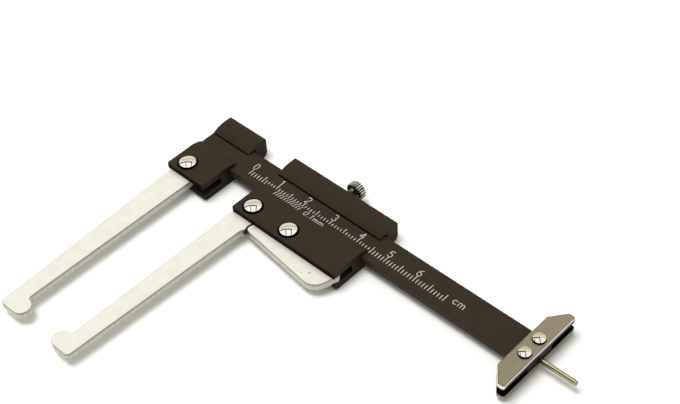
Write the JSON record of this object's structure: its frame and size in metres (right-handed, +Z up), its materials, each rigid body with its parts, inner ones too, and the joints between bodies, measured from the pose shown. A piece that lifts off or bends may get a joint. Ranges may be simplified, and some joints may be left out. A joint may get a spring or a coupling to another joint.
{
  "type": "vernier brake disc and tread depth caliper",
  "caption": "Vernier caliper with long hooked legs for brake disc thickness, a sliding body with lock screw, and a cross base with depth rod for tyre tread.",
  "frame": {"origin": "on the plane of the bodies' undersides, where the plane of the fixed leg's measuring face crosses the beam's middle line", "axes": "+X along the beam towards the tread depth base, +Y towards the lock screw with the legs to -Y, +Z up through the scale face"},
  "size_m": [0.1298, 0.0907, 0.0072],
  "materials": {
    "black_coat": "dark warm black coat, fine satin",
    "bare_aluminium": "satin, bare",
    "polished_steel": "polished",
    "nickel_plate": "satin nickel plate, slightly warm",
    "rod_steel": "drawn, slightly yellow",
    "gib_brass": "rolled strip",
    "screw_steel": "blackened"
  },
  "bodies": {
    "base": {"beam": "black_coat", "head_body": "black_coat", "head_fixing_screw_outer": "screw_steel", "head_fixing_screw_inner": "screw_steel", "fixed_leg": "bare_aluminium", "fixed_leg_rivet": "polished_steel", "bridge_plate_top": "nickel_plate", "bridge_plate_bottom": "nickel_plate", "bridge_rivet_rear": "polished_steel", "bridge_rivet_front": "polished_steel"},
    "slider": {"slider_body": "black_coat", "sliding_leg": "bare_aluminium", "sliding_leg_rivet": "polished_steel", "thumb_rest": "bare_aluminium", "thumb_rest_rivet": "polished_steel", "gib_strip": "gib_brass", "gib_screw_left": "screw_steel", "gib_screw_right": "screw_steel", "depth_rod": "rod_steel"},
    "lock": {"lock_screw": "polished_steel"}
  },
  "joints": [
    {"name": "slider_slide", "type": "slide", "parent": "base", "child": "slider", "axis": [1, 0, 0], "range_m": [-0.01097, 0.049]},
    {"name": "lock_turn", "type": "hinge", "parent": "slider", "child": "lock", "pos_m": [0.03425, 0.0097, 0.00375], "axis": [0, 1, 0], "range_deg": [0, 360]}
  ]
}
